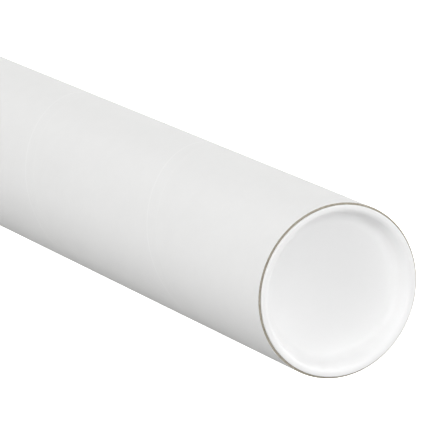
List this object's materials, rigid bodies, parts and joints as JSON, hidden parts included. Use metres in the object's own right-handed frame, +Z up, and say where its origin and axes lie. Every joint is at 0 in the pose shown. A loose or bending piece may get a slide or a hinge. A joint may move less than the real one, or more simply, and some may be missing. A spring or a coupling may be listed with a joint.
{
  "type": "cardboard mailing tube",
  "caption": "Long round white mailing tube of spiral-wound card, closed at each end by a push-in plastic cap, for posting rolled sheets.",
  "frame": {"origin": "centre of the lower cap's lip, on the ground that the tube stands on", "axes": "+Z up the tube's axis, from the lower cap to the upper cap; X and Y across it"},
  "size_m": [0.0797, 0.0798, 0.6124],
  "materials": {
    "tube_card": "matte",
    "cap_plastic": "satin"
  },
  "bodies": {
    "tube": {"tube": "tube_card"},
    "upper_cap": {"upper_cap": "cap_plastic"},
    "lower_cap": {"lower_cap": "cap_plastic"}
  },
  "joints": [
    {"name": "upper_cap_pull", "type": "slide", "parent": "tube", "child": "upper_cap", "axis": [0, 0, 1], "range_m": [0, 0.12]},
    {"name": "lower_cap_pull", "type": "slide", "parent": "tube", "child": "lower_cap", "axis": [0, 0, -1], "range_m": [0, 0.12]}
  ]
}
